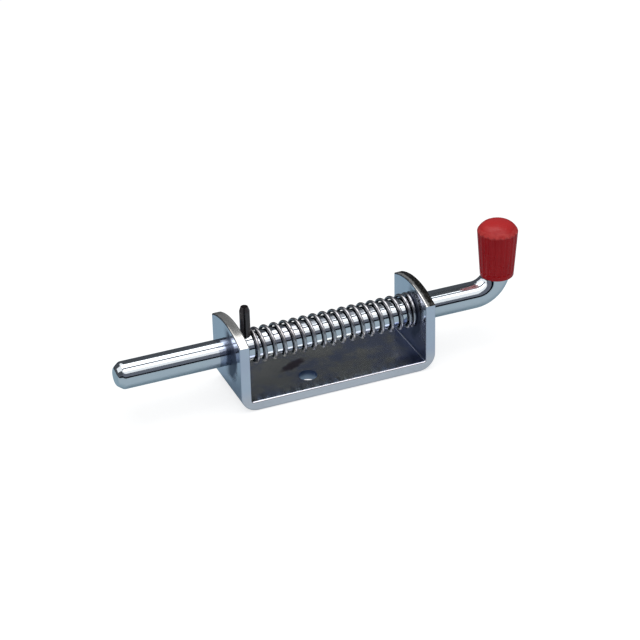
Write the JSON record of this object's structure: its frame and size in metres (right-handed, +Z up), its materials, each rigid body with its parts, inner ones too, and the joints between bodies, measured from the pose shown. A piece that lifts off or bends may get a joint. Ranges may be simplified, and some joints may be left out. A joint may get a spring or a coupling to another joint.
{
  "type": "spring loaded gate latch",
  "caption": "Round bolt sliding through the two ears of a folded plate bracket, thrown by a compression spring against a cross pin and drawn back by an upturned gripped handle.",
  "frame": {"origin": "centre of the flat underside of the bracket's base", "axes": "+X along the bolt from its nose to its handle, +Y across the base, +Z up, away from the surface that the base is fixed to"},
  "size_m": [0.2484, 0.045, 0.0743],
  "materials": {
    "zinc_plate": "bright blue-white zinc plating on mild steel plate",
    "zinc_bar": "bright blue-white zinc plating on drawn steel bar",
    "black_steel": "oiled black spring steel",
    "spring_wire": "bright zinc plated spring wire",
    "red_plastic": "soft moulded red plastic"
  },
  "bodies": {
    "bracket": {"bracket": "zinc_plate"},
    "spring": {"spring": "spring_wire"},
    "bolt": {"bolt_rod": "zinc_bar", "roll_pin": "black_steel", "grip": "red_plastic"}
  },
  "joints": [
    {"name": "bolt_slide", "type": "slide", "parent": "bracket", "child": "spring", "axis": [1, 0, 0], "range_m": [0, 0.06], "stiffness_N_per_m": 1440, "deforming": ["spring"]},
    {"name": "bolt_turn", "type": "hinge", "parent": "spring", "child": "bolt", "pos_m": [0, 0, 0.029], "axis": [1, 0, 0], "range_deg": [-105, 105]}
  ]
}
